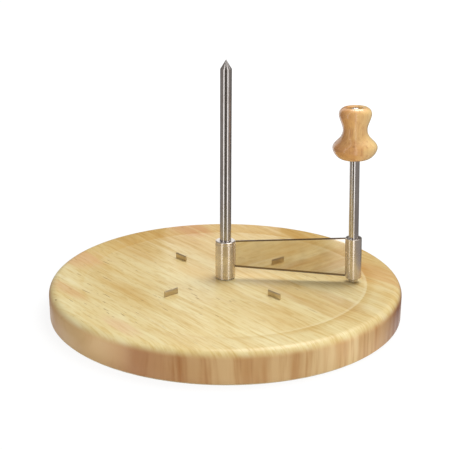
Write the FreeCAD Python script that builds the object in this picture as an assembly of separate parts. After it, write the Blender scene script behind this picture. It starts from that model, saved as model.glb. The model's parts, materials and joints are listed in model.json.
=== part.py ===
import FreeCAD, Part
import math
import os

# A cheese curler. A round board carries a pointed spindle, which goes through the cheese.
# A scraper slides down over the spindle and is cranked round it by a turned knob.
# Frame: origin at the centre of the board's underside, +Z up the spindle, and +X towards
# the side where the handle is parked. All sizes are in millimetres and degrees.

# Board: edge-glued staves along the grain, turned to a disc with a shallow sunken top
board_radius = 110.0
board_thickness = 19.5
board_top_rounding = 5.5
board_bottom_chamfer = 1.0
recess_depth = 0.85
rim_slope_width = 15.75
stave_count = 5
grain_angle = -52.0

# Spindle: a turned rod, seated in the board and held from below
spindle_radius = 3.5
spindle_height = 131.7
spindle_point_length = 5.5
spindle_point_flat = 0.15
spindle_web = 3.0
spindle_seat_clearance = 0.02

# Screw and washer under the spindle
spindle_screw_radius = 2.0
spindle_screw_grip = 8.0
spindle_screw_head_radius = 4.0
spindle_screw_head_height = 2.6
spindle_washer_radius = 6.0
spindle_washer_thickness = 1.0
spindle_screw_recess = 1.0
screw_hole_clearance = 0.15
thread_clearance = 0.03
counterbore_clearance = 0.5

# Teeth: four upright plates that grip the cheese
tooth_circle_radius = 43.8
tooth_length = 10.0
tooth_thickness = 0.9
tooth_height = 3.7
tooth_depth = 8.0
tooth_bevel = 0.3
tooth_bevel_height = 0.8
tooth_slot_clearance = 0.03
first_tooth_angle = 41.9

# Scraper hub: a sleeve with a flanged bush at each end, on a thrust washer
thrust_washer_thickness = 0.5
thrust_washer_inset = 0.4
running_clearance = 0.05
bush_wall = 1.0
bush_flange_thickness = 1.8
bush_length = 8.0
bush_flange_inset = 0.1
bush_edge_chamfer = 0.4
press_clearance = 0.02
sleeve_wall = 1.7
hub_height = 24.4

# Blade: a plate between the hub and the handle socket, bevelled along its lower edge
blade_thickness = 1.5
blade_over_teeth = 1.15
blade_lower_slope = 3.05
blade_upper_slope = 3.5
blade_below_hub_top = 0.1
blade_bevel_height = 1.0
blade_edge_land = 0.3
blade_back_chamfer = 0.25
weld_gap = 0.03
park_angle = -5.0

# Handle: a rod in a socket, leaning slightly towards the spindle
handle_rod_radius = 3.0
handle_lean = 1.75
handle_to_rim = 8.75
handle_tip_clearance = 0.3
handle_tip_rounding = 0.8
handle_socket_wall = 2.0
socket_edge_chamfer = 0.3

# Knob: turned wood, free to spin on the end of the rod
knob_base = 79.2
knob_foot_radius = 7.4
knob_belly_radius = 13.4
knob_belly_rise = 7.2
knob_waist_radius = 7.35
knob_waist_rise = 11.4
knob_crown_radius = 9.7
knob_crown_rise = 9.3
knob_top_radius = 6.9
knob_top_rise = 3.3
knob_foot_fullness = 0.73
knob_foot_lift = 0.42
knob_neck_fullness = 0.18
knob_neck_lift = 0.58
knob_foot_bore_depth = 10.0
knob_end_play = 0.15
spigot_radius = 2.25

# Screw and washer in the top of the knob
knob_recess_radius = 4.8
knob_recess_depth = 3.0
knob_recess_chamfer = 0.5
knob_washer_radius = 4.3
knob_washer_thickness = 0.6
knob_screw_radius = 1.5
knob_screw_grip = 9.0
knob_screw_head_radius = 3.0
knob_screw_head_height = 2.2
tapped_hole_overrun = 2.0

# Screw heads: the upright rim and the cross recess, as shares of the head's size
head_rim_share = 0.4
cross_width_share = 0.28
cross_length_share = 1.15
cross_depth_share = 0.5

up = FreeCAD.Vector(0, 0, 1)
over = 1.0
floor_height = board_thickness - recess_depth
crest_radius = board_radius - board_top_rounding
floor_radius = crest_radius - rim_slope_width
handle_reach = floor_radius - handle_to_rim
bush_bore_radius = spindle_radius + running_clearance
bush_radius = bush_bore_radius + bush_wall
sleeve_bore_radius = bush_radius + press_clearance
sleeve_radius = sleeve_bore_radius + sleeve_wall
socket_bore_radius = handle_rod_radius + press_clearance
socket_radius = socket_bore_radius + handle_socket_wall
hub_foot = floor_height + thrust_washer_thickness
hub_top = hub_foot + hub_height
knob_height = knob_belly_rise + knob_waist_rise + knob_crown_rise + knob_top_rise
knob_top_floor = knob_base + knob_height - knob_recess_depth
knob_shoulder = knob_base + knob_foot_bore_depth


def point(x, z):
    return FreeCAD.Vector(x, 0, z)


def line(start, end):
    return Part.LineSegment(start, end).toShape()


def corner_arc(centre, radius, from_angle, to_angle):
    """An arc in the XZ plane about centre, between two angles from +X."""
    points = []
    for angle in (from_angle, (from_angle + to_angle) / 2, to_angle):
        turn = math.radians(angle)
        points.append(centre + point(radius * math.cos(turn), radius * math.sin(turn)))
    return Part.Arc(*points).toShape()


def revolve(edges):
    """A closed outline in the XZ plane, turned about Z."""
    face = Part.Face(Part.Wire(edges))
    return face.revolve(FreeCAD.Vector(0, 0, 0), up, 360)


def outline(points):
    return [line(a, b) for a, b in zip(points, points[1:] + points[:1])]


def cylinder(radius, low, high):
    return Part.makeCylinder(radius, high - low, FreeCAD.Vector(0, 0, low))


def ring(inner, outer, low, high):
    return cylinder(outer, low, high).cut(cylinder(inner, low - over, high + over))


def turned(shape, angle, axis=up):
    moved = shape.copy()
    moved.rotate(FreeCAD.Vector(0, 0, 0), axis, angle)
    return moved


def rims(shape, radius):
    """The round edges of one radius."""
    return [edge for edge in shape.Edges
            if isinstance(edge.Curve, Part.Circle) and abs(edge.Curve.Radius - radius) < 0.001]


def place_handle(shape):
    """From the handle's own axis to its place, before the scraper is turned."""
    moved = turned(shape, -handle_lean, FreeCAD.Vector(0, 1, 0))
    moved.translate(FreeCAD.Vector(handle_reach, 0, floor_height))
    return moved


def park(shape):
    return turned(shape, park_angle)


def board_blank():
    """The turned disc. One arc carries the crest down to the edge of the sunken floor."""
    slope_radius = (rim_slope_width ** 2 + recess_depth ** 2) / (2 * recess_depth)
    slope_turn = 2 * math.degrees(math.atan2(recess_depth, rim_slope_width))
    side = board_radius
    shoulder = board_thickness - board_top_rounding
    crest = point(crest_radius, board_thickness)
    foot = point(floor_radius, floor_height)
    edges = [
        line(point(0, 0), point(side - board_bottom_chamfer, 0)),
        line(point(side - board_bottom_chamfer, 0), point(side, board_bottom_chamfer)),
        line(point(side, board_bottom_chamfer), point(side, shoulder)),
        corner_arc(point(crest_radius, shoulder), board_top_rounding, 0, 90),
        corner_arc(crest - up * slope_radius, slope_radius, 90, 90 + slope_turn),
        line(foot, point(0, floor_height)),
        line(point(0, floor_height), point(0, 0)),
    ]
    return revolve(edges)


def spindle_levels():
    """Heights of the counterbore floor and of the spindle's seat above the table."""
    counterbore = spindle_screw_recess + spindle_screw_head_height + spindle_washer_thickness
    return counterbore, counterbore + spindle_web


def tooth_angles():
    return [first_tooth_angle + 90 * number for number in range(4)]


def tooth_slot(angle):
    length = tooth_length + 2 * tooth_slot_clearance
    width = tooth_thickness + 2 * tooth_slot_clearance
    depth = tooth_depth + tooth_slot_clearance
    corner = FreeCAD.Vector(tooth_circle_radius - length / 2, -width / 2, floor_height - depth)
    return turned(Part.makeBox(length, width, depth + over, corner), angle)


def board_staves():
    """The disc cut along the grain into staves, with the holes for what it carries."""
    counterbore, seat = spindle_levels()
    blank = board_blank()
    blank = blank.cut(cylinder(spindle_washer_radius + counterbore_clearance, -over, counterbore))
    blank = blank.cut(cylinder(spindle_screw_radius + screw_hole_clearance, 0, board_thickness))
    blank = blank.cut(cylinder(spindle_radius + spindle_seat_clearance, seat, board_thickness))
    for angle in tooth_angles():
        blank = blank.cut(tooth_slot(angle))
    width = 2 * board_radius / stave_count
    long_enough = 2 * board_radius + 2 * over
    staves = []
    for number in range(stave_count):
        corner = FreeCAD.Vector(-long_enough / 2, -board_radius + number * width, -over)
        cutter = Part.makeBox(long_enough, width, board_thickness + 2 * over, corner)
        staves.append(blank.common(turned(cutter, grain_angle)))
    return staves


def tooth(angle):
    """A plate set on edge along a radius, with its top bevelled on both faces."""
    half = tooth_thickness / 2
    low = floor_height - tooth_depth
    top = floor_height + tooth_height
    section = [
        FreeCAD.Vector(0, -half, low),
        FreeCAD.Vector(0, half, low),
        FreeCAD.Vector(0, half, top - tooth_bevel_height),
        FreeCAD.Vector(0, half - tooth_bevel, top),
        FreeCAD.Vector(0, tooth_bevel - half, top),
        FreeCAD.Vector(0, -half, top - tooth_bevel_height),
    ]
    face = Part.Face(Part.Wire(outline(section)))
    plate = face.extrude(FreeCAD.Vector(tooth_length, 0, 0))
    plate.translate(FreeCAD.Vector(tooth_circle_radius - tooth_length / 2, 0, 0))
    return turned(plate, angle)


def spindle():
    """The rod with its turned point, tapped from below for its screw."""
    counterbore, seat = spindle_levels()
    neck = floor_height + spindle_height
    tip = neck + spindle_point_length
    rod = revolve(outline([
        point(0, seat),
        point(spindle_radius, seat),
        point(spindle_radius, neck),
        point(spindle_point_flat, tip),
        point(0, tip),
    ]))
    hole_top = seat + spindle_screw_grip + tapped_hole_overrun
    return rod.cut(cylinder(spindle_screw_radius + thread_clearance, seat - over, hole_top))


def pan_screw(radius, length, head_radius, head_height):
    """A pan-head screw along +Z. Its domed head is above z = 0 and its shank below."""
    rim = head_height * head_rim_share
    dome_rise = head_height - rim
    dome_radius = (head_radius ** 2 + dome_rise ** 2) / (2 * dome_rise)
    rim_turn = 90 - math.degrees(math.asin(head_radius / dome_radius))
    head = revolve([
        line(point(0, 0), point(head_radius, 0)),
        line(point(head_radius, 0), point(head_radius, rim)),
        corner_arc(point(0, head_height - dome_radius), dome_radius, rim_turn, 90),
        line(point(0, head_height), point(0, 0)),
    ])
    slot_length = head_radius * cross_length_share
    slot_width = head_radius * cross_width_share
    slot_depth = head_height * cross_depth_share
    for long_way, short_way in ((slot_length, slot_width), (slot_width, slot_length)):
        corner = FreeCAD.Vector(-long_way / 2, -short_way / 2, head_height - slot_depth)
        head = head.cut(Part.makeBox(long_way, short_way, slot_depth + over, corner))
    return head.fuse(cylinder(radius, -length, 0)).removeSplitter()


def spindle_screw():
    """The screw that pulls the spindle down on its seat, head downwards."""
    counterbore, seat = spindle_levels()
    length = spindle_washer_thickness + spindle_web + spindle_screw_grip
    screw = pan_screw(spindle_screw_radius, length, spindle_screw_head_radius, spindle_screw_head_height)
    screw = turned(screw, 180, FreeCAD.Vector(1, 0, 0))
    screw.translate(up * (counterbore - spindle_washer_thickness))
    return screw


def spindle_washer():
    counterbore, seat = spindle_levels()
    hole = spindle_screw_radius + screw_hole_clearance
    return ring(hole, spindle_washer_radius, counterbore - spindle_washer_thickness, counterbore)


def thrust_washer():
    """The loose ring that the hub turns on."""
    return ring(bush_bore_radius, sleeve_radius - thrust_washer_inset, floor_height, hub_foot)


def bush():
    """A flanged bush with its flange at z = 0 and above, and its spigot below."""
    flange_radius = sleeve_radius - bush_flange_inset
    flange = cylinder(flange_radius, 0, bush_flange_thickness)
    outer_rims = [edge for edge in rims(flange, flange_radius) if edge.Curve.Center.z > 0]
    flange = flange.makeChamfer(bush_edge_chamfer, outer_rims)
    whole = flange.fuse(cylinder(bush_radius, bush_flange_thickness - bush_length, 0))
    bore = cylinder(bush_bore_radius, -bush_length, bush_flange_thickness + over)
    return whole.cut(bore).removeSplitter()


def upper_bush():
    piece = bush()
    piece.translate(up * (hub_top - bush_flange_thickness))
    return park(piece)


def lower_bush():
    piece = turned(bush(), 180, FreeCAD.Vector(1, 0, 0))
    piece.translate(up * (hub_foot + bush_flange_thickness))
    return park(piece)


def sleeve():
    low = hub_foot + bush_flange_thickness
    high = hub_top - bush_flange_thickness
    return park(ring(sleeve_bore_radius, sleeve_radius, low, high))


def blade_lower_edge(radius):
    """Height of the blade's lower edge, set by its clearance over the teeth."""
    tooth_end = tooth_circle_radius + tooth_length / 2
    over_teeth = floor_height + tooth_height + blade_over_teeth
    return over_teeth + (tooth_end - radius) * math.tan(math.radians(blade_lower_slope))


def blade_upper_edge(radius):
    rise = (radius - sleeve_radius) * math.tan(math.radians(blade_upper_slope))
    return hub_top - blade_below_hub_top + rise


def bevel_cutter(start, end, upwards, side, depth, height):
    """A wedge along one edge of the blade that leaves its face bevelled.

    upwards is 1 for a lower edge and -1 for an upper one. side is the face: -1 front, 1 back.
    """
    along = (end - start).normalize()
    rise = FreeCAD.Vector(-along.z, 0, along.x) * upwards
    face_side = FreeCAD.Vector(0, side, 0)
    first = start - along * over + face_side * (blade_thickness / 2)
    section = [
        first + rise * height,
        first + rise * height + face_side * over,
        first - rise * over + face_side * over,
        first - rise * over - face_side * depth,
        first - face_side * depth,
    ]
    face = Part.Face(Part.Wire(outline(section)))
    return face.extrude(along * ((end - start).Length + 2 * over))


def blade():
    """The plate, cut to fit the hub and the leaning socket, with a bevelled lower edge."""
    half = blade_thickness / 2
    lower = [point(radius, blade_lower_edge(radius)) for radius in (0, handle_reach)]
    upper = [point(radius, blade_upper_edge(radius)) for radius in (0, handle_reach)]
    plate = Part.Face(Part.Wire(outline([lower[0], lower[1], upper[1], upper[0]])))
    plate = plate.extrude(FreeCAD.Vector(0, blade_thickness, 0))
    plate.translate(FreeCAD.Vector(0, -half, 0))
    bevel_depth = blade_thickness - blade_edge_land
    plate = plate.cut(bevel_cutter(lower[0], lower[1], 1, -1, bevel_depth, blade_bevel_height))
    for side in (-1, 1):
        plate = plate.cut(bevel_cutter(upper[0], upper[1], -1, side, blade_back_chamfer, blade_back_chamfer))
    low = floor_height
    high = hub_top + handle_reach
    plate = plate.cut(cylinder(sleeve_radius + weld_gap, low, high))
    # Everything beyond the socket's axis goes too, so the plate ends on the socket's near face.
    beyond = Part.makeBox(handle_reach, 2 * socket_radius, high,
                          FreeCAD.Vector(0, -socket_radius, -floor_height))
    round_end = cylinder(socket_radius + weld_gap, -floor_height, high)
    plate = plate.cut(place_handle(round_end.fuse(beyond)))
    return park(plate)


def handle_socket():
    """The short tube that the blade is welded to and the rod passes through."""
    low = blade_lower_edge(handle_reach) - floor_height
    high = blade_upper_edge(handle_reach) - floor_height
    tube = ring(socket_bore_radius, socket_radius, low, high)
    return park(place_handle(tube.makeChamfer(socket_edge_chamfer, rims(tube, socket_radius))))


def handle_rod():
    """The rod, rounded at its foot and stepped down inside the knob for a tapped spigot."""
    tip = handle_tip_clearance
    rounding = handle_tip_rounding
    step = knob_shoulder - knob_end_play / 2
    end = knob_top_floor + knob_end_play / 2
    rod = revolve([
        line(point(0, tip), point(handle_rod_radius - rounding, tip)),
        corner_arc(point(handle_rod_radius - rounding, tip + rounding), rounding, -90, 0),
        line(point(handle_rod_radius, tip + rounding), point(handle_rod_radius, step)),
        line(point(handle_rod_radius, step), point(spigot_radius, step)),
        line(point(spigot_radius, step), point(spigot_radius, end)),
        line(point(spigot_radius, end), point(0, end)),
        line(point(0, end), point(0, tip)),
    ])
    hole_foot = end + knob_washer_thickness - knob_screw_grip - tapped_hole_overrun
    rod = rod.cut(cylinder(knob_screw_radius + thread_clearance, hole_foot, end + over))
    return park(place_handle(rod))


def knob():
    """The turned knob: a belly, a waist and a crown on one flowing curve, bored for the rod."""
    top = knob_height
    belly = point(knob_belly_radius, knob_belly_rise)
    waist = point(knob_waist_radius, belly.z + knob_waist_rise)
    crown = point(knob_crown_radius, waist.z + knob_crown_rise)
    foot = point(knob_foot_radius, 0)
    under_belly = point(foot.x + (belly.x - foot.x) * knob_foot_fullness, belly.z * knob_foot_lift)
    over_belly = point(waist.x + (belly.x - waist.x) * knob_neck_fullness,
                       belly.z + knob_waist_rise * knob_neck_lift)
    side = Part.BSplineCurve()
    side.interpolate([foot, under_belly, belly, over_belly, waist, crown, point(knob_top_radius, top)])
    edges = [
        line(point(0, 0), point(knob_foot_radius, 0)),
        side.toShape(),
        line(point(knob_top_radius, top), point(0, top)),
        line(point(0, top), point(0, 0)),
    ]
    body = revolve(edges)
    shoulder = knob_foot_bore_depth
    body = body.cut(cylinder(handle_rod_radius + running_clearance, -over, shoulder))
    body = body.cut(cylinder(spigot_radius + running_clearance, 0, top + over))
    body = body.cut(cylinder(knob_recess_radius, top - knob_recess_depth, top + over))
    mouth = Part.makeCone(knob_recess_radius, knob_recess_radius + 2 * knob_recess_chamfer,
                          2 * knob_recess_chamfer, point(0, top - knob_recess_chamfer))
    body = body.cut(mouth)
    body.translate(up * knob_base)
    return park(place_handle(body))


def knob_washer():
    low = knob_top_floor + knob_end_play / 2
    hole = knob_screw_radius + screw_hole_clearance
    return park(place_handle(ring(hole, knob_washer_radius, low, low + knob_washer_thickness)))


def knob_screw():
    screw = pan_screw(knob_screw_radius, knob_screw_grip, knob_screw_head_radius, knob_screw_head_height)
    screw.translate(up * (knob_top_floor + knob_end_play / 2 + knob_washer_thickness))
    return park(place_handle(screw))


def build_nodes():
    nodes = {}
    for number, stave in enumerate(board_staves(), start=1):
        nodes[f"board_stave_{number}"] = stave
    tooth_names = ("tooth_back_right", "tooth_back_left", "tooth_front_left", "tooth_front_right")
    for name, angle in zip(tooth_names, tooth_angles()):
        nodes[name] = tooth(angle)
    for make in (spindle, spindle_screw, spindle_washer, thrust_washer, sleeve, upper_bush, lower_bush,
                 blade, handle_socket, handle_rod, knob_washer, knob_screw, knob):
        nodes[make.__name__] = make()
    return nodes


os.makedirs("parts", exist_ok=True)
for name, shape in build_nodes().items():
    box = shape.optimalBoundingBox(False, False)
    print(f"{name}: {len(shape.Solids)} solid, valid {shape.isValid()}, volume {shape.Volume:.1f} mm3, "
          f"z {box.ZMin:.2f} to {box.ZMax:.2f}")
    shape.exportStep(f"parts/{name}.step")
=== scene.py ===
import bmesh
import bpy
import json
import math
from mathutils import Matrix, Vector


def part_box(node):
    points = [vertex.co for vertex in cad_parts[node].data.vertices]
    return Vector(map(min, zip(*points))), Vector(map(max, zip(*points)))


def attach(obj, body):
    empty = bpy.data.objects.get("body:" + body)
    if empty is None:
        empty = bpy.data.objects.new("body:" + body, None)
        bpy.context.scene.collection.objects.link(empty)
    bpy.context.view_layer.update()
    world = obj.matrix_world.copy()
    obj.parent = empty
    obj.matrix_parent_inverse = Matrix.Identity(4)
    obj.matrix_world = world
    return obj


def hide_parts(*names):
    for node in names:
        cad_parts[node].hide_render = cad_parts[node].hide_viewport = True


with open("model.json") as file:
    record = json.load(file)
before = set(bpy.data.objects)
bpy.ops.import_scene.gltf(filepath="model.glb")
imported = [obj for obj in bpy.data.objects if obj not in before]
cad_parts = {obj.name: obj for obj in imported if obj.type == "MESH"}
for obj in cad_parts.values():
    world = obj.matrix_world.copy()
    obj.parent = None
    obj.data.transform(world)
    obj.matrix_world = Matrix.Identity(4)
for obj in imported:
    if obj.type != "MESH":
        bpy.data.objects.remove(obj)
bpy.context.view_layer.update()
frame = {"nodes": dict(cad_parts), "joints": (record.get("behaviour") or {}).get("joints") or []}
nodes = frame["nodes"]
scene = bpy.context.scene
mm = 0.001
white = "#FFFFFF"
joints = {joint["name"]: joint for joint in frame["joints"]}


def linear(hexColour):
    # sRGB hex to the linear values that the shaders take
    shares = [int(hexColour[i:i + 2], 16) / 255 for i in (1, 3, 5)]
    return [s / 12.92 if s <= 0.04045 else ((s + 0.055) / 1.055) ** 2.4 for s in shares] + [1.0]


def addNode(tree, kind, settings=None, links=None):
    # settings are node properties or socket values, links are socket: (node, its output)
    node = tree.nodes.new(kind)
    given = settings or {}
    properties = [key for key in given if isinstance(key, str) and hasattr(node, key)]
    for key in properties:
        setattr(node, key, given[key])
    for key in given:
        if key not in properties:
            node.inputs[key].default_value = given[key]
    for key, (source, socket) in (links or {}).items():
        tree.links.new(source.outputs[socket], node.inputs[key])
    return node


def maths(tree, operation, first, second=0.0, third=None):
    # each value is a number or (node, socket)
    node = addNode(tree, "ShaderNodeMath", {"operation": operation})
    for number, value in enumerate((first, second, third)):
        if isinstance(value, tuple):
            tree.links.new(value[0].outputs[value[1]], node.inputs[number])
        elif value is not None:
            node.inputs[number].default_value = value
    return node


def product(tree, first, second):
    return maths(tree, "MULTIPLY", (first, 0), (second, 0))


def ranged(tree, source, socket, low, high, toLow=0.0, toHigh=1.0):
    # an eased step from toLow to toHigh while the source goes from low to high
    limits = {"From Min": low, "From Max": high, "To Min": toLow, "To Max": toHigh}
    return addNode(tree, "ShaderNodeMapRange", {"interpolation_type": "SMOOTHSTEP", **limits},
                   {"Value": (source, socket)})


def emptyMaterial(name):
    material = bpy.data.materials.new(name)
    material.use_nodes = True
    material.node_tree.nodes.clear()
    return material, material.node_tree


def boxSize(name):
    low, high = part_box(name)
    return high - low


# The camera stands where the photograph was taken from, fitted to the board's outline.
print("camera")
photoView = {
    "place": (-0.00033, -0.56726, 0.24067),
    "tilt": 71.739,
    "roll": 0.178,
    "sensor": 36.0,
    "lens": 77.05,
}
camera = bpy.data.objects.new("photoCamera", bpy.data.cameras.new("photoCamera"))
scene.collection.objects.link(camera)
scene.camera = camera
camera.data.sensor_width = photoView["sensor"]
camera.data.lens = photoView["lens"]
camera.location = photoView["place"]
tilted = Matrix.Rotation(math.radians(photoView["tilt"]), 3, "X")
camera.rotation_euler = (tilted @ Matrix.Rotation(math.radians(photoView["roll"]), 3, "Z")).to_euler()
scene.view_settings.view_transform = "Standard"


# Studio: white paper, three soft boxes, and cards that only gloss sees. Paper, sky and cards are
# backgrounds that Cycles does not sample as lamps, and two of the boxes are hidden from gloss.
print("studio")
studio = {
    "paperHalf": 3.0,
    # the paper's glow grows over these distances from the board's middle, from and to this strength
    "paperGlow": (0.16, 0.5, 0.88, 1.0),
    "paperShade": "#6A6A6A",
    "paperPlain": "#D8D8D8",
    "skyLight": 0.30,
    "aim": (0, 0, 0.03),
    "lamps": {
        "overheadBox": {"place": (0.26, 0.25, 0.88), "side": 0.6, "watts": 6.6, "gloss": True},
        "leftBox": {"place": (-0.66, -0.79, 0.55), "side": 0.55, "watts": 1.8, "gloss": False},
        "rightBox": {"place": (0.55, -0.85, 0.50), "side": 0.5, "watts": 3.6, "gloss": False},
    },
    # From azimuth, to azimuth, colour, strength and top; degrees from +X, with the camera at -90.
    # The two bright strips beside the dark cards give the steel its two white lines.
    "cards": [
        (-120, -78, "#625D59", 1.0, 0.6), (-78, -61, "#86817D", 1.0, 0.6),
        (-137, -122, white, 1.8, 0.6), (-58, -44, white, 1.8, 0.6),
        (-44, 5, "#96918E", 1.0, 0.6), (5, 70, "#6E6A67", 1.0, 0.2),
        (112, 150, "#7C7876", 1.0, 0.6), (150, 221, "#918C89", 1.0, 0.6),
    ],
    "cardRadius": 0.118,
    "cardLift": 0.0015,
    "cardStep": 3.0,    # degrees between two folds of a card
}


def shownWhite(tree, plain, bright):
    # bright for rays that show the background, from the camera, in gloss and in glass; else plain
    rays = addNode(tree, "ShaderNodeLightPath")
    first = maths(tree, "MAXIMUM", (rays, "Is Camera Ray"), (rays, "Is Glossy Ray"))
    shown = maths(tree, "MAXIMUM", (first, 0), (rays, "Is Transmission Ray"))
    return addNode(tree, "ShaderNodeMixShader", {}, {0: (shown, 0), 1: (plain, 0), 2: (bright, 0)})


def makePaper():
    paper, tree = emptyMaterial("whitePaper")
    paper.cycles.emission_sampling = "NONE"
    shade = addNode(tree, "ShaderNodeBsdfDiffuse", {"Color": linear(studio["paperShade"])})
    place = addNode(tree, "ShaderNodeTexCoord")
    away = addNode(tree, "ShaderNodeVectorMath", {"operation": "LENGTH"}, {0: (place, "Object")})
    # the paper is lit evenly to the horizon, and keeps the shadow of the board near it
    even = ranged(tree, away, "Value", *studio["paperGlow"])
    glow = addNode(tree, "ShaderNodeEmission", {"Color": linear(white)}, {"Strength": (even, 0)})
    bright = addNode(tree, "ShaderNodeAddShader", {}, {0: (shade, 0), 1: (glow, 0)})
    plain = addNode(tree, "ShaderNodeBsdfDiffuse", {"Color": linear(studio["paperPlain"])})
    mix = shownWhite(tree, plain, bright)
    addNode(tree, "ShaderNodeOutputMaterial", {}, {"Surface": (mix, 0)})
    half = studio["paperHalf"]
    corners = [(-half, -half, 0), (half, -half, 0), (half, half, 0), (-half, half, 0)]
    mesh = bpy.data.meshes.new("whitePaper")
    mesh.from_pydata(corners, [], [(0, 1, 2, 3)])
    mesh.materials.append(paper)
    floor = bpy.data.objects.new("whitePaper", mesh)
    scene.collection.objects.link(floor)


def makeSky():
    scene.world = bpy.data.worlds.new("softSky")
    scene.world.use_nodes = True
    scene.world.cycles.sampling_method = "NONE"
    tree = scene.world.node_tree
    tree.nodes.clear()
    light = addNode(tree, "ShaderNodeBackground",
                    {"Color": linear(white), "Strength": studio["skyLight"]})
    bright = addNode(tree, "ShaderNodeBackground", {"Color": linear(white), "Strength": 1.0})
    mix = shownWhite(tree, light, bright)
    addNode(tree, "ShaderNodeOutputWorld", {}, {"Surface": (mix, 0)})


def makeLamps():
    for name, lamp in studio["lamps"].items():
        light = bpy.data.lights.new(name, "AREA")
        light.shape = "SQUARE"
        light.size = lamp["side"]
        light.energy = lamp["watts"]
        box = bpy.data.objects.new(name, light)
        scene.collection.objects.link(box)
        box.location = lamp["place"]
        aim = Vector(studio["aim"]) - Vector(lamp["place"])
        box.rotation_euler = aim.to_track_quat("-Z", "Y").to_euler()
        box.visible_glossy = lamp["gloss"]


def cardMesh(name, start, end, top):
    # an upright strip bent round the object from one azimuth to the other
    steps = max(2, round((end - start) / studio["cardStep"]))
    corners = []
    for step in range(steps + 1):
        angle = math.radians(start + (end - start) * step / steps)
        x, y = studio["cardRadius"] * math.cos(angle), studio["cardRadius"] * math.sin(angle)
        corners += [(x, y, studio["cardLift"]), (x, y, top)]
    mesh = bpy.data.meshes.new(name)
    mesh.from_pydata(corners, [], [(2 * i, 2 * i + 2, 2 * i + 3, 2 * i + 1) for i in range(steps)])
    return mesh


def makeCards():
    for number, (start, end, colour, strength, top) in enumerate(studio["cards"], start=1):
        name = f"glossCard{number}"
        material, tree = emptyMaterial(name)
        material.cycles.emission_sampling = "NONE"
        shine = addNode(tree, "ShaderNodeEmission", {"Color": linear(colour), "Strength": strength})
        addNode(tree, "ShaderNodeOutputMaterial", {}, {"Surface": (shine, 0)})
        mesh = cardMesh(name, start, end, top)
        mesh.materials.append(material)
        card = bpy.data.objects.new(name, mesh)
        scene.collection.objects.link(card)
        card.visible_camera = False
        card.visible_diffuse = False
        card.visible_transmission = False
        card.visible_volume_scatter = False
        card.visible_shadow = False


makePaper()
makeSky()
makeLamps()
makeCards()


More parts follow.
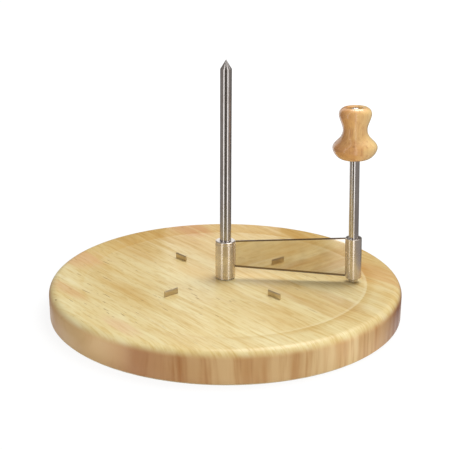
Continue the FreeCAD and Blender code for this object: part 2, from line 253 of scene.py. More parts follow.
# Board wood: rubberwood, edge-glued, turned, sanded and oiled. Pale straw with soft streaks and
# short open pores along the grain; the end grain drinks more oil and shows browner. Painted shade
# darkens the recess's corner and the back of the rim, and a painted highlight lines the floor's edge.
print("woods")
boardLook = {
    "grainAngle": -52.0,
    "pale": "#F1E4B2",
    "straw": "#DABD80",
    # share of straw in the middle, what a metre back and a metre right add, and the streaks' part
    "strawShare": (0.24, 4.6, 1.2, 0.4),
    # Noises: which of the plank's places they follow, then cycles per metre along the grain, across
    # it and up, detail, roughness and offset. 55 across is a band each 18 mm, 230 one each 4 mm.
    "noises": {
        "broad": ("common", (6, 55, 20), 3, 0.5),
        "streak": ("fibre", (7, 230, 30), 3, 0.6),
        "fine": ("fibre", (14, 620, 60), 3, 0.6),
        "light": ("fibre", (10, 240, 40), 2, 0.5, (2.7, 5.1, 0.6)),
        "cloud": ("plank", (12, 24, 12), 2, 0.5, (4.4, 0.9, 0)),
        "mottle": ("fibre", (80, 520, 160), 2, 0.6),
        "pores": ("fibre", (110, 1000, 900), 1, 0.4),
        "poreArea": ("plank", (14, 30, 30), 1, 0.5, (3.1, 1.7, 0)),
        "sideBroad": ("common", (7, 75, 8), 3, 0.5),
        "sideFine": ("fibre", (12, 300, 14), 3, 0.6),
    },
    "wander": (9, 22, 22),    # cycles per metre of the streaks' wandering
    "sway": 6.0,    # mm across and up that the whole range of the wandering covers
    "staveShift": (0.83, 0.0, 0.31),    # m that the fine grain moves on, from the first edge to the last
    # the noise, where it starts and is full, its strength, and the shade that it multiplies by
    "stains": [
        ("broad", 0.45, 0.72, 1.0, "#F5EBD9"), ("streak", 0.45, 0.74, 0.75, "#F3EAD4"),
        ("streak", 0.62, 0.78, 0.4, "#E0CAA2"), ("fine", 0.45, 0.8, 1.0, "#F3EAD4"),
        ("cloud", 0.4, 0.65, 1.0, "#F7ECD8"), ("mottle", 0.45, 0.7, 1.0, "#F3EBDA"),
    ],
    "sideStains": [("sideBroad", 0.42, 0.7, 1.0, "#E2C8AE"), ("sideFine", 0.45, 0.8, 1.0, "#E2C8AE")],
    # pale grain streaks, and the colour of the painted highlight along the floor's edge
    "paleStreakAndHighlight": "#F7EBC6",
    "lightShare": (0.56, 0.74, 0.0, 0.22),    # the noise from and to, and the share from and to
    # patches of other heartwood: middle along and across the grain, length and width in mm, shade
    # and strength
    "patches": [
        (-90, 38, 27, 18, "#C58A50", 0.65), (-65, -21, 34, 11, "#C89A50", 0.38),
        (-84, -56, 26, 18, "#E8B592", 0.4), (-42, -90, 30, 8, "#D2935A", 0.42),
        (24, -93, 26, 9, "#E9BB98", 0.4), (54, 80, 46, 17, "#CC9450", 0.5),
        (-18, -9, 34, 14, "#D8B470", 0.55), (74, 30, 34, 7, "#C1924F", 0.38),
        (55, 12, 40, 6, "#C99A58", 0.28), (-28, -60, 40, 9, "#D6AF68", 0.3),
    ],
    "patchEdge": (0.05, 0.9),    # how far inwards a patch starts and is full
    "patchStreak": (0.25, 0.7, 0.5, 1.7),    # the streak noise from and to, and what it multiplies by
    "pore": "#9C7846",
    "poreSize": (0.68, 0.76),    # noise above which a pore opens and is full
    "poreFacing": (0.6, 0.9),    # how far up or down the surface faces where pores start and are full
    "poreSpread": (0.42, 0.62, 0.2, 0.8),    # the area noise from and to, and the share from and to
    # rings about the recess's corner, as radii in mm from and to which the painted shade and the painted
    # highlight grow or fade
    "cornerShadeEdge": (88.4, 89.1),
    "cornerShadeFade": (89.5, 96.0),
    "highlightRise": (86.2, 87.6),
    "highlightFall": (88.2, 88.8),
    # painted shade in the recess's corner and on the back of the rim
    "corner": "#F6ECD8",
    "backRimShade": "#F6EEDA",
    "floorHighlight": (0.2, 0.4, 1.0),    # the painted highlight's strength, and the share of the right side from and to
    # from and to this place, in mm to the right or back, the painted shade grows, and on the right the
    # painted highlight too; then its share on the left
    "rightSide": (-10, 70, 0.3),
    "backSide": (20, 90),
    # side of the board, from its left edge across the grain to the right one, and its width in m
    "sideSpan": 0.22,
    "sideFacing": (0.15, 0.85, 1.0, 0.0),    # how far up or down it faces, and the side's share
    "sides": [
        (0.0, "#EBC78B"), (0.05, "#C69062"), (0.12, "#D2A670"), (0.19, "#DEB881"), (0.36, "#DCB780"),
        (0.5, "#F0D299"), (0.62, "#DDB27A"), (0.75, "#925A34"), (1.0, "#AA7A50"),
    ],
    "roughness": (0.3, 0.75, 0.34, 0.46),    # the noise from and to, and the roughness from and to
    "poreRelief": -1.6,    # beside the fine grain's 1
    "bump": (0.2, 0.0004),    # strength, and depth in m
    "ior": 1.47,
}


def stretched(tree, source, socket, scale, detail=3.0, roughness=0.5, offset=(0, 0, 0)):
    # noise drawn out along the grain: scale is in cycles per metre along, across and up
    placed = addNode(tree, "ShaderNodeMapping", {"Scale": scale, "Location": offset},
                     {"Vector": (source, socket)})
    return addNode(tree, "ShaderNodeTexNoise", {"Scale": 1.0, "Detail": detail, "Roughness": roughness},
                   {"Vector": (placed, 0)})


def blended(tree, share, first, second, mode="MIX"):
    # first and second are hex colours or (node, socket); share is a number or (node, socket)
    node = addNode(tree, "ShaderNodeMix", {"data_type": "RGBA", "blend_type": mode, "clamp_factor": True})
    for value, index in ((share, 0), (first, 6), (second, 7)):
        if isinstance(value, tuple):
            tree.links.new(value[0].outputs[value[1]], node.inputs[index])
        else:
            node.inputs[index].default_value = value if index == 0 else linear(value)
    return node


def painted(tree, colour, share, shade):
    # lays a shade over the colour, by the share
    return blended(tree, (share, 0), (colour, 2), shade)


def stained(tree, colour, share, shade):
    # multiplies the colour by a shade, by the share; colour is hex or (node, socket)
    tint = blended(tree, (share, 0), white, shade)
    return blended(tree, 1.0, colour, (tint, 2), "MULTIPLY")


def ramped(tree, source, socket, stops):
    ramp = addNode(tree, "ShaderNodeValToRGB", {}, {"Fac": (source, socket)})
    elements = ramp.color_ramp.elements
    while len(elements) < len(stops):
        elements.new(0.5)
    for element, (position, colour) in zip(elements, stops):
        element.position = position
        element.color = linear(colour)
    return ramp


def roundSpot(tree, source, scale, location):
    at = addNode(tree, "ShaderNodeMapping", {"Scale": scale, "Location": location}, {"Vector": (source, 0)})
    return addNode(tree, "ShaderNodeTexGradient", {"gradient_type": "SPHERICAL"}, {"Vector": (at, 0)})


def vectorSum(tree, first, second):
    return addNode(tree, "ShaderNodeVectorMath", {"operation": "ADD"}, {0: (first, 0), 1: (second, 0)})


def plankPlaces(tree, place):
    # the plank's axes, the same with wandering streaks, and those moved on for each stave
    look = boardLook
    turn = (0, 0, -math.radians(look["grainAngle"]))
    plank = addNode(tree, "ShaderNodeMapping", {"Rotation": turn}, {"Vector": (place, "Object")})
    wander = stretched(tree, plank, 0, look["wander"], 2)
    centred = addNode(tree, "ShaderNodeVectorMath", {"operation": "SUBTRACT", 1: (0.5, 0.5, 0.5)},
                      {0: (wander, "Color")})
    sway = (0.0, look["sway"] * mm, look["sway"] * mm)
    bend = addNode(tree, "ShaderNodeVectorMath", {"operation": "MULTIPLY", 1: sway}, {0: (centred, 0)})
    # the fine grain of each stave comes from another place in the plank
    stave = addNode(tree, "ShaderNodeAttribute",
                    {"attribute_type": "GEOMETRY", "attribute_name": "staveShare"})
    shift = addNode(tree, "ShaderNodeVectorMath", {"operation": "SCALE", 0: look["staveShift"]},
                    {"Scale": (stave, "Fac")})
    own = vectorSum(tree, plank, shift)
    return {"plank": plank, "common": vectorSum(tree, plank, bend), "fibre": vectorSum(tree, own, bend)}


def plankColour(tree, parts, common, noises):
    look = boardLook
    start, perBack, perRight, streakPart = look["strawShare"]
    # paler towards the front and the left, browner towards the back and the right
    tone = maths(tree, "MULTIPLY_ADD", (parts, "Y"), perBack, start)
    tone = maths(tree, "MULTIPLY_ADD", (parts, "X"), perRight, (tone, 0))
    tone = maths(tree, "MULTIPLY_ADD", (noises["broad"], 0), streakPart, (tone, 0))
    colour = blended(tree, (ranged(tree, tone, 0, 0.0, 1.0), 0), look["pale"], look["straw"])
    for noise, low, high, strength, shade in look["stains"]:
        share = ranged(tree, noises[noise], 0, low, high, 0.0, strength)
        colour = stained(tree, (colour, 2), share, shade)
    share = ranged(tree, noises["light"], 0, *look["lightShare"])
    colour = painted(tree, colour, share, look["paleStreakAndHighlight"])
    # the streaks run through the patches
    frayed = ranged(tree, noises["streak"], 0, *look["patchStreak"])
    for along, across, length, width, shade, strength in look["patches"]:
        middle = (-along / length, -across / width, 0)
        spot = roundSpot(tree, common, (1 / length / mm, 1 / width / mm, 0), middle)
        uneven = maths(tree, "MULTIPLY", (spot, "Fac"), (frayed, 0))
        share = ranged(tree, uneven, 0, *look["patchEdge"], 0.0, strength)
        colour = painted(tree, colour, share, shade)
    return colour


def openPores(tree, upright, noises):
    # 0.3 mm wide in the real wood and drawn about twice that, more in some areas, none on the side
    pores = ranged(tree, noises["pores"], 0, *boardLook["poreSize"])
    area = ranged(tree, noises["poreArea"], 0, *boardLook["poreSpread"])
    return product(tree, product(tree, pores, area), ranged(tree, upright, 0, *boardLook["poreFacing"]))


def paintedShadeAndHighlight(tree, place, parts, colour):
    look = boardLook
    flat = addNode(tree, "ShaderNodeVectorMath", {"operation": "MULTIPLY", 1: (1, 1, 0)},
                   {0: (place, "Object")})
    ring = addNode(tree, "ShaderNodeVectorMath", {"operation": "LENGTH"}, {0: (flat, 0)})

    def ringStep(name, toLow=0.0, toHigh=1.0):
        start, end = look[name]
        return ranged(tree, ring, "Value", start * mm, end * mm, toLow, toHigh)

    # painted shade: the corner of the recess is darker, most on the right, where the slope turns away from
    # the overhead box
    start, end, least = look["rightSide"]
    onRight = ranged(tree, parts, "X", start * mm, end * mm, least, 1.0)
    outside = ringStep("cornerShadeEdge")
    corner = product(tree, product(tree, outside, ringStep("cornerShadeFade", 1.0, 0.0)), onRight)
    colour = stained(tree, (colour, 2), corner, look["corner"])
    # painted shade: the rim at the back is darker too
    start, end = look["backSide"]
    rim = product(tree, outside, ranged(tree, parts, "Y", start * mm, end * mm))
    colour = stained(tree, (colour, 2), rim, look["backRimShade"])
    # painted highlight: a pale line over the last two millimetres of the floor, most on the right
    strength, start, end = look["floorHighlight"]
    floorHighlight = product(tree, ringStep("highlightRise"), ringStep("highlightFall", strength, 0.0))
    floorHighlight = product(tree, floorHighlight, ranged(tree, onRight, 0, start, end))
    return painted(tree, colour, floorHighlight, look["paleStreakAndHighlight"])


def sideColour(tree, common, noises):
    # the side's tone goes by the place across the staves
    split = addNode(tree, "ShaderNodeSeparateXYZ", {}, {0: (common, 0)})
    across = maths(tree, "MULTIPLY_ADD", (split, "Y"), 1 / boardLook["sideSpan"], 0.5)
    side = (ramped(tree, across, 0, boardLook["sides"]), 0)
    for noise, low, high, strength, shade in boardLook["sideStains"]:
        share = ranged(tree, noises[noise], 0, low, high, 0.0, strength)
        side = (stained(tree, side, share, shade), 2)
    return side


def makeBoardWood():
    look = boardLook
    material, tree = emptyMaterial("oiledRubberwood")
    place = addNode(tree, "ShaderNodeTexCoord")
    parts = addNode(tree, "ShaderNodeSeparateXYZ", {}, {0: (place, "Object")})
    facing = addNode(tree, "ShaderNodeSeparateXYZ", {}, {0: (place, "Normal")})
    upright = maths(tree, "ABSOLUTE", (facing, "Z"))
    places = plankPlaces(tree, place)
    noises = {}
    for name, (follows, *shape) in look["noises"].items():
        noises[name] = stretched(tree, places[follows], 0, *shape)
    colour = plankColour(tree, parts, places["common"], noises)
    pores = openPores(tree, upright, noises)
    colour = painted(tree, colour, pores, look["pore"])
    colour = paintedShadeAndHighlight(tree, place, parts, colour)
    onSide = ranged(tree, upright, 0, *look["sideFacing"])
    colour = painted(tree, colour, onSide, sideColour(tree, places["common"], noises))
    rough = ranged(tree, noises["streak"], 0, *look["roughness"])
    relief = maths(tree, "MULTIPLY_ADD", (pores, 0), look["poreRelief"], (noises["fine"], 0))
    strength, distance = look["bump"]
    bump = addNode(tree, "ShaderNodeBump", {"Strength": strength, "Distance": distance},
                   {"Height": (relief, 0)})
    shader = addNode(tree, "ShaderNodeBsdfPrincipled", {"IOR": look["ior"]},
                     {"Base Color": (colour, 2), "Roughness": (rough, 0), "Normal": (bump, 0)})
    addNode(tree, "ShaderNodeOutputMaterial", {}, {"Surface": (shader, 0)})
    return material


# Knob wood: the same timber, turned across a finer stick and dipped in clear lacquer. Warmer,
# darker to the left, with the grain upright and a tight gloss.
knobLook = {
    "pale": "#FAD692",
    "honey": "#EDB671",
    "brown": "#BF7C46",
    "broad": ((110, 110, 9), 3, 0.5, (0.7, 0.2, 0)),
    "fine": ((520, 520, 16), 3, 0.6),
    "hair": ((2200, 2200, 90), 2, 0.5),
    "heartShare": (0.42, -38.0),    # in the middle, and what a metre to the right adds
    "honeyFrom": (0.55, 1.25),    # the heart's share where the honey starts and is full
    # noise, where it starts and is full, and the strength of the brown that it lays on
    "browns": [("heart", 0.95, 1.45, 0.6), ("fine", 0.46, 0.74, 0.5), ("hair", 0.5, 0.8, 0.25)],
    "knot": "#8E5A2C",
    "knotPlace": (-5.1, -12.0, 89.7),    # mm from the foot of the handle's axis
    "knotSize": 1.5,
    "knotShare": (0.0, 0.7, 0.0, 0.6),    # from rim to middle, and the knot's strength there
    "roughness": (0.3, 0.75, 0.3, 0.42),    # the noise from and to, and the roughness from and to
    "bump": (0.12, 0.0003),    # strength, and depth in m
    "ior": 1.47,
    "lacquer": {"Coat Weight": 0.9, "Coat Roughness": 0.1, "Coat IOR": 1.5},
}


def makeKnobWood():
    look = knobLook
    material, tree = emptyMaterial("lacqueredRubberwood")
    foot = [-c for c in joints["knob_spin"]["pos_m"]]
    place = addNode(tree, "ShaderNodeTexCoord")
    local = addNode(tree, "ShaderNodeMapping", {"Location": foot}, {"Vector": (place, "Object")})
    noises = {name: stretched(tree, local, 0, *look[name]) for name in ("broad", "fine", "hair")}
    parts = addNode(tree, "ShaderNodeSeparateXYZ", {}, {0: (local, 0)})
    middle, perRight = look["heartShare"]
    heart = maths(tree, "MULTIPLY_ADD", (parts, "X"), perRight, middle)
    noises["heart"] = maths(tree, "ADD", (heart, 0), (noises["broad"], 0))
    share = ranged(tree, noises["heart"], 0, *look["honeyFrom"])
    colour = blended(tree, (share, 0), look["pale"], look["honey"])
    for noise, low, high, strength in look["browns"]:
        share = ranged(tree, noises[noise], 0, low, high, 0.0, strength)
        colour = painted(tree, colour, share, look["brown"])
    # a pin knot on the belly, towards the front
    at = [-c / look["knotSize"] for c in look["knotPlace"]]
    pin = roundSpot(tree, local, [1 / (look["knotSize"] * mm)] * 3, at)
    share = ranged(tree, pin, "Fac", *look["knotShare"])
    colour = painted(tree, colour, share, look["knot"])
    rough = ranged(tree, noises["fine"], 0, *look["roughness"])
    strength, distance = look["bump"]
    bump = addNode(tree, "ShaderNodeBump", {"Strength": strength, "Distance": distance},
                   {"Height": (noises["fine"], 0)})
    shader = addNode(tree, "ShaderNodeBsdfPrincipled", {"IOR": look["ior"], **look["lacquer"]},
                     {"Base Color": (colour, 2), "Roughness": (rough, 0), "Normal": (bump, 0)})
    addNode(tree, "ShaderNodeOutputMaterial", {}, {"Surface": (shader, 0)})
    return material


# Steels: 18/8 stainless. The rods and tubes are centreless ground and polished: scratches run
# round them and draw every light out along their length. The blade is buffed flat to a mirror,
# with its edges left as sheared and ground; its narrow edges and a band along each long edge are
# painted dark, a painted reflection of the shaded board and of dark surroundings. The teeth are
# plain rolled strip.
print("steels")
steelLook = {
    "rod": {"name": "groundStainlessRod", "colour": "#CFCAC7", "rough": 0.2, "anisotropic": 0.9},
    "tube": {"name": "polishedStainlessTube", "colour": "#EBE2D9", "rough": 0.27, "anisotropic": 0.95},
    "blade": {
        "name": "mirrorStainlessBlade", "colour": "#E6DDD2", "rough": 0.05, "anisotropic": 0.0,
        # edge is the colour of the painted dark reflection on the narrow edges and in the bands
        "edge": "#5A4430", "edgeRough": 0.3, "edgeFacing": (0.3, 0.6), "wave": 0.05,
        # painted reflection: dark bands along the cutting edge and the back, in mm and degrees: a point
        # of the edge (out, up), its slope, and the dark share between two heights above the edge
        "turn": -5.0,
        "darkReflectionBands": [(48.8, 23.5, -3.05, 1.6, 2.0, 0.8, 0.0), (6.25, 43.45, 3.5, -0.85, -0.5, 0.0, 0.75)],
    },
    "tooth": {"name": "rolledStainlessStrip", "colour": "#D8C8A8", "rough": 0.42, "anisotropic": 0.0},
    "fastener": {"name": "turnedStainlessFastener", "colour": "#C9C6C3", "rough": 0.3, "anisotropic": 0.0},
}
steelWear = {
    "smear": ((60, 60, 90), 3, 0.6),
    "smearRough": (0.3, 0.7, 0.12),    # noise from and to, and the share of rougher or smoother
    "smearStain": (0.4, 0.75),
    "smearShade": "#EFECEA",
    "wave": ((45, 45, 45), 1, 0.4),
    "waveDepth": 0.0003,
}


def darkEdgeReflection(tree, place, look):
    # 1 where the dark reflection is painted: on the narrow edges and in the bands along the cutting edge
    #                                         and the back
    facing = addNode(tree, "ShaderNodeSeparateXYZ", {}, {0: (place, "Normal")})
    edge = ranged(tree, maths(tree, "ABSOLUTE", (facing, "Z")), 0, *look["edgeFacing"])
    turn = (0, 0, -math.radians(look["turn"]))
    along = addNode(tree, "ShaderNodeMapping", {"Rotation": turn}, {"Vector": (place, "Object")})
    along = addNode(tree, "ShaderNodeSeparateXYZ", {}, {0: (along, 0)})
    for out, up, slope, low, high, below, beyond in look["darkReflectionBands"]:
        rise = math.tan(math.radians(slope))
        line = maths(tree, "MULTIPLY_ADD", (along, "X"), rise, (up - rise * out) * mm)
        above = maths(tree, "SUBTRACT", (along, "Z"), (line, 0))
        band = ranged(tree, above, 0, low * mm, high * mm, below, beyond)
        edge = maths(tree, "MAXIMUM", (edge, 0), (band, 0))
    return edge


def makeSteel(look):
    material, tree = emptyMaterial(look["name"])
    place = addNode(tree, "ShaderNodeTexCoord")
    smear = stretched(tree, place, "Object", *steelWear["smear"])
    low, high, change = steelWear["smearRough"]
    spread = ranged(tree, smear, 0, low, high, look["rough"] * (1 - change), look["rough"] * (1 + change))
    share = ranged(tree, smear, 0, *steelWear["smearStain"])
    colour = stained(tree, look["colour"], share, steelWear["smearShade"])
    # painted reflection: the narrow edges and the bands are painted dark; they are also rougher
    if "edge" in look:
        edge = darkEdgeReflection(tree, place, look)
        colour = painted(tree, colour, edge, look["edge"])
        edgeRough = maths(tree, "MULTIPLY", (edge, 0), look["edgeRough"])
        spread = maths(tree, "MAXIMUM", (spread, 0), (edgeRough, 0))
    shader = addNode(tree, "ShaderNodeBsdfPrincipled",
                     {"Metallic": 1.0, "Anisotropic": look["anisotropic"]},
                     {"Base Color": (colour, 2), "Roughness": (spread, 0)})
    if "wave" in look:
        # buffing leaves a flat face very slightly wavy
        wave = stretched(tree, place, "Object", *steelWear["wave"])
        bump = addNode(tree, "ShaderNodeBump",
                       {"Strength": look["wave"], "Distance": steelWear["waveDepth"]},
                       {"Height": (wave, 0)})
        tree.links.new(bump.outputs[0], shader.inputs["Normal"])
    if look["anisotropic"]:
        # the scratches run round the piece's own upright axis
        upwards = addNode(tree, "ShaderNodeCombineXYZ", {"X": 0.01, "Z": 1.0})
        tangent = addNode(tree, "ShaderNodeVectorTransform",
                          {"vector_type": "VECTOR", "convert_from": "OBJECT", "convert_to": "WORLD"},
                          {"Vector": (upwards, 0)})
        tree.links.new(tangent.outputs[0], shader.inputs["Tangent"])
    addNode(tree, "ShaderNodeOutputMaterial", {}, {"Surface": (shader, 0)})
    return material


boardWood = makeBoardWood()
knobWood = makeKnobWood()
steels = {name: makeSteel(look) for name, look in steelLook.items()}


# Turned pieces: an outline of radius and height is turned about the upright axis.
print("turned pieces")


def newGroup(name, inputs, result):
    # inputs are socket names with their kinds
    tree = bpy.data.node_groups.new(name, "GeometryNodeTree")
    tree.is_modifier = True
    for socket, kind in inputs.items():
        tree.interface.new_socket(socket, in_out="INPUT", socket_type=f"NodeSocket{kind}")
    tree.interface.new_socket(result, in_out="OUTPUT", socket_type="NodeSocketGeometry")
    return tree, addNode(tree, "NodeGroupInput")


def creased(tree, shape, given):
    # smooth faces, with a crease where two of them meet at more than the given angle
    smooth = addNode(tree, "GeometryNodeSetShadeSmooth", {"domain": "FACE"}, {"Geometry": (shape, 0)})
    bend = addNode(tree, "GeometryNodeInputMeshEdgeAngle")
    sharp = addNode(tree, "FunctionNodeCompare", {"data_type": "FLOAT", "operation": "GREATER_THAN"},
                    {0: (bend, "Unsigned Angle"), 1: (given, "Crease")})
    return addNode(tree, "GeometryNodeSetShadeSmooth", {"domain": "EDGE", "Shade Smooth": False},
                   {"Geometry": (smooth, 0), "Selection": (sharp, 0)})


def closeGroup(tree, shape, given, result):
    # gives the shape its material and hands it out as one plain mesh
    finished = addNode(tree, "GeometryNodeSetMaterial", {},
                       {"Geometry": (shape, 0), "Material": (given, "Finish")})
    real = addNode(tree, "GeometryNodeRealizeInstances", {}, {"Geometry": (finished, 0)})
    addNode(tree, "NodeGroupOutput", {}, {result: (real, 0)})
    return tree


def vectorOf(tree, **axes):
    # each axis is (node, socket)
    return addNode(tree, "ShaderNodeCombineXYZ", {}, axes)


def moved(tree, shape, **change):
    # change is a Translation, a Rotation or both
    return addNode(tree, "GeometryNodeTransform", {}, {"Geometry": (shape, 0), **change})


sameSpot = 1e-6    # m within which points are joined


def latheTree():
    inputs = {"Outline": "Geometry", "Turns": "Int", "Crease": "Float", "Lean": "Rotation",
              "Foot": "Vector", "Finish": "Material"}
    tree, given = newGroup("turnedOutline", inputs, "Piece")
    # a grid with a row for each point of the outline and a column for each step round the axis
    points = addNode(tree, "GeometryNodeAttributeDomainSize", {"component": "MESH"},
                     {"Geometry": (given, "Outline")})
    columns = maths(tree, "ADD", (given, "Turns"), 1.0)
    grid = addNode(tree, "GeometryNodeMeshGrid", {},
                   {"Vertices X": (points, "Point Count"), "Vertices Y": (columns, 0)})
    index = addNode(tree, "GeometryNodeInputIndex")
    row = maths(tree, "DIVIDE", (index, 0), (columns, 0))
    row = maths(tree, "FLOOR", (row, 0))
    step = maths(tree, "MODULO", (index, 0), (columns, 0))
    place = addNode(tree, "GeometryNodeInputPosition")
    sampled = addNode(tree, "GeometryNodeSampleIndex", {"data_type": "FLOAT_VECTOR", "domain": "POINT"},
                      {"Geometry": (given, "Outline"), "Value": (place, 0), "Index": (row, 0)})
    parts = addNode(tree, "ShaderNodeSeparateXYZ", {}, {0: (sampled, 0)})
    # each point goes round by its step's share of the full turn
    share = maths(tree, "DIVIDE", (step, 0), (given, "Turns"))
    angle = maths(tree, "MULTIPLY", (share, 0), math.tau)
    x = maths(tree, "MULTIPLY", (parts, "X"), (maths(tree, "COSINE", (angle, 0)), 0))
    y = maths(tree, "MULTIPLY", (parts, "X"), (maths(tree, "SINE", (angle, 0)), 0))
    position = vectorOf(tree, X=(x, 0), Y=(y, 0), Z=(parts, "Z"))
    shape = addNode(tree, "GeometryNodeSetPosition", {},
                    {"Geometry": (grid, "Mesh"), "Position": (position, 0)})
    closed = addNode(tree, "GeometryNodeMergeByDistance", {"Distance": sameSpot}, {"Geometry": (shape, 0)})
    shape = creased(tree, closed, given)
    placed = moved(tree, shape, Translation=(given, "Foot"), Rotation=(given, "Lean"))
    return closeGroup(tree, placed, given, "Piece")


def setInputs(modifier, values):
    for socket in modifier.node_group.interface.items_tree:
        if socket.in_out == "INPUT" and socket.name in values:
            modifier[socket.identifier] = values[socket.name]


def faceOutwards(mesh):
    shape = bmesh.new()
    shape.from_mesh(mesh)
    if shape.calc_volume(signed=True) < 0:
        bmesh.ops.reverse_faces(shape, faces=shape.faces)
    shape.to_mesh(mesh)
    shape.free()


def grown(name, mesh, tree, values):
    # runs a node tree on a mesh and keeps the result as a plain mesh at the origin
    piece = bpy.data.objects.new(name, mesh)
    scene.collection.objects.link(piece)
    modifier = piece.modifiers.new(tree.name, "NODES")
    modifier.node_group = tree
    setInputs(modifier, values)
    depsgraph = bpy.context.evaluated_depsgraph_get()
    result = bpy.data.meshes.new_from_object(piece.evaluated_get(depsgraph), depsgraph=depsgraph)
    piece.modifiers.clear()
    piece.data = result
    result.name = name
    faceOutwards(result)
    return piece


def outlineMesh(points):
    # points are (radius, height) in millimetres
    mesh = bpy.data.meshes.new("outline")
    corners = [(radius * mm, 0, height * mm) for radius, height in points]
    mesh.from_pydata(corners, [(i, i + 1) for i in range(len(points) - 1)], [])
    return mesh


def arc(centre, radius, start, end, steps):
    turns = [math.radians(start + (end - start) * i / steps) for i in range(steps + 1)]
    return [(centre[0] + radius * math.cos(t), centre[1] + radius * math.sin(t)) for t in turns]


lathe = latheTree()


def turned(name, body, points, finish, turns=96, crease=28, handle=False):
    values = {"Turns": turns, "Crease": math.radians(crease), "Finish": finish}
    if handle:
        axis = joints["knob_spin"]
        values["Lean"] = Vector((0, 0, 1)).rotation_difference(Vector(axis["axis"])).to_euler()
        values["Foot"] = axis["pos_m"]
    piece = grown(name + "Turned", outlineMesh(points), lathe, values)
    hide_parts(name)
    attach(piece, body)


def ringPoints(inner, outer, low, high, edge):
    return [(inner, low), (outer - edge, low), (outer, low + edge), (outer, high - edge),
            (outer - edge, high), (inner, high), (inner, low)]


def heights(name):
    # radius, foot and top of a piece that stands on the upright axis, in mm
    low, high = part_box(name)
    return boxSize(name).x / 2 / mm, low.z / mm, high.z / mm


# Spindle: a rod drawn to a point, with a tapped hole in its foot. Measures are in mm.
spindle = {
    "edge": 0.15,    # broken edge at the foot, and below the shoulder of the point
    "point": 5.5,
    "shoulder": (0.06, 0.045),    # first place of the cone: inside the rod's wall, above the shoulder
    "tip": [(0.45, 0.65), (0.15, 0.08)],    # last places of the cone: radius, below the tip
    "seatHole": 2.03,
    "seatDepth": 10.0,
}


def makeSpindle():
    radius, foot, tip = heights("spindle")
    edge, hole, ceiling = spindle["edge"], spindle["seatHole"], foot + spindle["seatDepth"]
    neck = tip - spindle["point"]
    inside, above = spindle["shoulder"]
    points = [(0, ceiling), (hole, ceiling), (hole, foot), (radius - edge, foot), (radius, foot + edge),
              (radius, neck - edge), (radius - inside, neck + above)]
    points += [(out, tip - below) for out, below in spindle["tip"]]
    turned("spindle", "base", points + [(0, tip)], steels["rod"])


# Hub: two flanged bushes in a sleeve, on a thrust washer. Measures are in mm, and the pieces'
# outer radii and heights come from the frame.
hub = {
    "bore": 3.55,
    "body": 4.55,    # outer radius of the bushes inside the sleeve
    "pressGap": 0.02,
    "edge": 0.15,    # broken edge on the tubes and in the bores
    "flange": 1.8,
    "flangeEdge": 0.4,
    "washerEdge": 0.08,
}


def bushPoints(radius, inside, outside):
    # from the spigot's end inside the hub to the flange's face outside it
    way = 1 if outside > inside else -1
    bore, body, edge, flangeEdge = hub["bore"], hub["body"], hub["edge"], hub["flangeEdge"]
    under = outside - way * hub["flange"]
    return [(bore, inside), (body, inside), (body, under), (radius, under),
            (radius, outside - way * flangeEdge), (radius - flangeEdge, outside),
            (bore + edge, outside), (bore, outside - way * edge), (bore, inside)]


def makeHub():
    radius, foot, top = heights("upper_bush")
    turned("upper_bush", "scraper", bushPoints(radius, foot, top), steels["tube"])
    radius, foot, top = heights("lower_bush")
    turned("lower_bush", "scraper", bushPoints(radius, top, foot), steels["tube"])
    radius, foot, top = heights("sleeve")
    tube = ringPoints(hub["body"] + hub["pressGap"], radius, foot, top, hub["edge"])
    turned("sleeve", "scraper", tube, steels["tube"])
    radius, foot, top = heights("thrust_washer")
    disc = ringPoints(hub["bore"], radius, foot, top, hub["washerEdge"])
    turned("thrust_washer", "washer", disc, steels["fastener"])


# Handle: radii, and heights along its own leaning axis from the board's floor, in mm.
handle = {
    "socketLow": 3.19,
    "socketHigh": 29.31,
    "socketBore": 3.02,
    "socketRadius": 5.02,
    "socketEdge": 0.3,
    "rodRadius": 3.0,
    "rodTip": 0.3,
    "rodRounding": (0.8, 8),    # radius and steps
    "rodStep": 89.125,    # shoulder that the knob stands on
    "spigot": 2.25,
    "spigotTop": 107.475,
    "spigotHole": 1.53,
    "spigotHoleFoot": 97.075,
}


def makeHandle():
    socket = ringPoints(*(handle[f"socket{part}"] for part in ("Bore", "Radius", "Low", "High", "Edge")))
    turned("handle_socket", "scraper", socket, steels["tube"], handle=True)
    radius, tip, step = handle["rodRadius"], handle["rodTip"], handle["rodStep"]
    rounding, steps = handle["rodRounding"]
    spigot, top = handle["spigot"], handle["spigotTop"]
    hole, holeFoot = handle["spigotHole"], handle["spigotHoleFoot"]
    points = [(0, tip)] + arc((radius - rounding, tip + rounding), rounding, -90, 0, steps)
    points += [(radius, step), (spigot, step), (spigot, top), (hole, top), (hole, holeFoot), (0, holeFoot)]
    turned("handle_rod", "scraper", points, steels["rod"], handle=True)


# Board: the disc is turned first, then cut along the grain into its staves. Measures are in mm.
board = {
    "rounding": (5.5, 24),    # radius and steps
    "chamfer": 1.0,
    "recess": 0.85,
    "slope": (15.75, 14),    # width and steps of the fall to the floor
    "turns": 360,
    "floorRings": 7,
    "crease": 4.5,    # degrees
    "counterbore": (6.5, 4.6),    # radius and depth
    "screwHole": 2.15,
    "seatHole": (3.52, 7.6),    # radius, and height of its floor
    "drillSides": 64,
    "slot": (10.06, 0.96, 8.03),    # length, width and depth
    "toothCircle": 43.8,
    "firstTooth": 41.9,    # degrees from +X
    "teeth": 4,
    "slab": (2.2, 2.0),    # the cutting slab's length beside the radius, and height beside the board's
    "past": 1.0,    # m up and down that the drills and slots reach, well past the board
}


def boardReach():
    # the board's radius and height: the last stave reaches furthest right
    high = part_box("board_stave_5")[1]
    return high.x, high.z


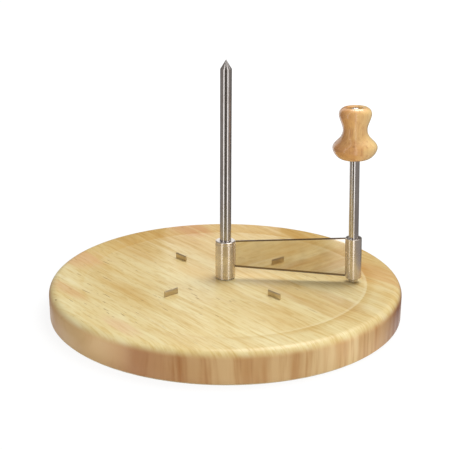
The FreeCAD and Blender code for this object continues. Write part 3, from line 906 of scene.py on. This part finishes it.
def boardOutline():
    radius, top = (reach / mm for reach in boardReach())
    rounding, roundingSteps = board["rounding"]
    slope, slopeSteps = board["slope"]
    chamfer, recess, rings = board["chamfer"], board["recess"], board["floorRings"]
    crest = radius - rounding
    bend = (slope ** 2 + recess ** 2) / (2 * recess)
    turn = 2 * math.degrees(math.atan2(recess, slope))
    points = [(0, 0), (radius / 2, 0), (radius - chamfer, 0), (radius, chamfer)]
    points += arc((crest, top - rounding), rounding, 0, 90, roundingSteps)
    points += arc((crest, top - bend), bend, 90, 90 + turn, slopeSteps)[1:]
    points += [((crest - slope) * i / rings, top - recess) for i in range(rings - 1, -1, -1)]
    return points


def middleOf(tree, high, low):
    both = maths(tree, "ADD", high, low)
    return maths(tree, "MULTIPLY", (both, 0), 0.5)


def staveSlab(tree, given):
    # the slab between the stave's two edges
    longer, higher = board["slab"]
    width = maths(tree, "SUBTRACT", (given, "High Edge"), (given, "Low Edge"))
    middle = middleOf(tree, (given, "High Edge"), (given, "Low Edge"))
    length = maths(tree, "MULTIPLY", (given, "Radius"), longer)
    height = maths(tree, "MULTIPLY", (given, "Height"), higher)
    size = vectorOf(tree, X=(length, 0), Y=(width, 0), Z=(height, 0))
    slab = addNode(tree, "GeometryNodeMeshCube", {}, {"Size": (size, 0)})
    slab = moved(tree, slab, Translation=(vectorOf(tree, Y=(middle, 0)), 0))
    return moved(tree, slab, Rotation=(vectorOf(tree, Z=(given, "Grain Angle")), 0))


def drilled(tree, given, radius, low, high):
    # a drill from one height to the other, each a number or (node, socket)
    deep = maths(tree, "SUBTRACT", high, low)
    middle = middleOf(tree, high, low)
    drill = addNode(tree, "GeometryNodeMeshCylinder", {"Vertices": board["drillSides"]},
                    {"Radius": (given, radius), "Depth": (deep, 0)})
    return moved(tree, drill, Translation=(vectorOf(tree, Z=(middle, 0)), 0))


def toothSlots(tree, given):
    # one slot on each tooth's place round the circle, turned to point at the spindle
    floorLevel = (given, "Slot Floor")
    height = maths(tree, "SUBTRACT", board["past"], floorLevel)
    middle = middleOf(tree, board["past"], floorLevel)
    size = vectorOf(tree, X=(given, "Slot Length"), Y=(given, "Slot Width"), Z=(height, 0))
    slot = addNode(tree, "GeometryNodeMeshCube", {}, {"Size": (size, 0)})
    circle = addNode(tree, "GeometryNodeMeshCircle", {"Vertices": board["teeth"]},
                     {"Radius": (given, "Tooth Circle")})
    number = addNode(tree, "GeometryNodeInputIndex")
    heading = maths(tree, "MULTIPLY", (number, 0), math.tau / board["teeth"])
    slots = addNode(tree, "GeometryNodeInstanceOnPoints", {},
                    {"Points": (circle, 0), "Instance": (slot, 0),
                     "Rotation": (vectorOf(tree, Z=(heading, 0)), 0)})
    slots = addNode(tree, "GeometryNodeRealizeInstances", {}, {"Geometry": (slots, 0)})
    first = vectorOf(tree, Z=(given, "First Tooth"))
    lift = vectorOf(tree, Z=(middle, 0))
    return moved(tree, slots, Rotation=(first, 0), Translation=(lift, 0))


def staveTree():
    measures = ("Low Edge", "High Edge", "Grain Angle", "Radius", "Height", "Share",
                "Counterbore Radius", "Counterbore Depth", "Screw Hole", "Seat Hole", "Seat Height",
                "Tooth Circle", "First Tooth", "Slot Length", "Slot Width", "Slot Floor", "Crease")
    inputs = {"Disc": "Geometry", **dict.fromkeys(measures, "Float"), "Finish": "Material"}
    tree, given = newGroup("staveCutFromDisc", inputs, "Stave")
    stave = addNode(tree, "GeometryNodeMeshBoolean", {"operation": "INTERSECT", "solver": "EXACT"})
    tree.links.new(given.outputs["Disc"], stave.inputs[1])
    tree.links.new(staveSlab(tree, given).outputs[0], stave.inputs[1])
    # holes for the spindle and its screw, and the slots for the teeth
    past, seat = board["past"], (given, "Seat Height")
    cutters = addNode(tree, "GeometryNodeJoinGeometry")
    tools = [drilled(tree, given, "Counterbore Radius", -past, (given, "Counterbore Depth")),
             drilled(tree, given, "Screw Hole", -past, seat),
             drilled(tree, given, "Seat Hole", seat, past),
             toothSlots(tree, given)]
    for tool in tools:
        tree.links.new(tool.outputs[0], cutters.inputs[0])
    bored = addNode(tree, "GeometryNodeMeshBoolean", {"operation": "DIFFERENCE", "solver": "EXACT"},
                    {0: (stave, 0), 1: (cutters, 0)})
    # the wood reads this share to give each stave its own fine grain
    numbered = addNode(tree, "GeometryNodeStoreNamedAttribute",
                       {"data_type": "FLOAT", "domain": "POINT", "Name": "staveShare"},
                       {"Geometry": (creased(tree, bored, given), 0), "Value": (given, "Share")})
    return closeGroup(tree, numbered, given, "Stave")


def makeBoard():
    names = [f"board_stave_{number}" for number in range(1, 6)]
    radius, height = boardReach()
    crease = math.radians(board["crease"])
    disc = grown("turnedDisc", outlineMesh(boardOutline()), lathe,
                 {"Turns": board["turns"], "Crease": crease, "Finish": boardWood})
    tree = staveTree()
    width = 2 * radius / len(names)
    counterbore, counterboreDepth = board["counterbore"]
    seat, seatHeight = board["seatHole"]
    slotLength, slotWidth, slotDepth = board["slot"]
    common = {
        "Grain Angle": math.radians(boardLook["grainAngle"]),
        "Radius": radius,
        "Height": height + mm,    # over the top, so that no two faces lie on each other
        "Counterbore Radius": counterbore * mm, "Counterbore Depth": counterboreDepth * mm,
        "Screw Hole": board["screwHole"] * mm, "Seat Hole": seat * mm, "Seat Height": seatHeight * mm,
        "Tooth Circle": board["toothCircle"] * mm, "First Tooth": math.radians(board["firstTooth"]),
        "Slot Length": slotLength * mm, "Slot Width": slotWidth * mm,
        "Slot Floor": height - board["recess"] * mm - slotDepth * mm, "Crease": crease, "Finish": boardWood,
    }
    for number, name in enumerate(names):
        low, high = -radius + number * width, -radius + (number + 1) * width
        own = {"Low Edge": low, "High Edge": high, "Share": (number + 0.5) / len(names)}
        stave = grown(name + "Turned", disc.data.copy(), tree, {**common, **own})
        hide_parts(name)
        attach(stave, "base")
        print(name, len(stave.data.polygons), "faces")
    bpy.data.objects.remove(disc)


# Plates: the CAD shape with its faces joined and its corners broken by a stone.
plate = {
    "bladeEdge": 0.08,    # mm
    "toothEdge": 0.06,
    "edgeSteps": 2,
    "corner": 25.0,    # degrees from which an edge counts as a corner
    "flat": 1.0,    # degrees up to which faces are joined
}


def makePlate(name, body, breakWidth, steel):
    mesh = nodes[name].data.copy()
    shape = bmesh.new()
    shape.from_mesh(mesh)
    bmesh.ops.remove_doubles(shape, verts=shape.verts, dist=sameSpot)
    bmesh.ops.dissolve_limit(shape, angle_limit=math.radians(plate["flat"]), verts=shape.verts,
                             edges=shape.edges)
    shape.to_mesh(mesh)
    shape.free()
    mesh.materials.clear()
    mesh.materials.append(steel)
    piece = bpy.data.objects.new(name + "Plate", mesh)
    scene.collection.objects.link(piece)
    edge = piece.modifiers.new("brokenEdge", "BEVEL")
    edge.width = breakWidth * mm
    edge.segments = plate["edgeSteps"]
    edge.limit_method = "ANGLE"
    edge.angle_limit = math.radians(plate["corner"])
    edge.harden_normals = True
    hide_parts(name)
    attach(piece, body)


print("making the pieces")
makeSpindle()
makeHub()
makeHandle()
makeBoard()
makePlate("blade", "scraper", plate["bladeEdge"], steels["blade"])
for corner in ("back_right", "back_left", "front_left", "front_right"):
    makePlate(f"tooth_{corner}", "base", plate["toothEdge"], steels["tooth"])

# the knob and the small fasteners keep their CAD meshes
fasteners = ("spindle_screw", "spindle_washer", "knob_screw", "knob_washer")
for name, finish in {"knob": knobWood, **dict.fromkeys(fasteners, steels["fastener"])}.items():
    nodes[name].data.materials.clear()
    nodes[name].data.materials.append(finish)
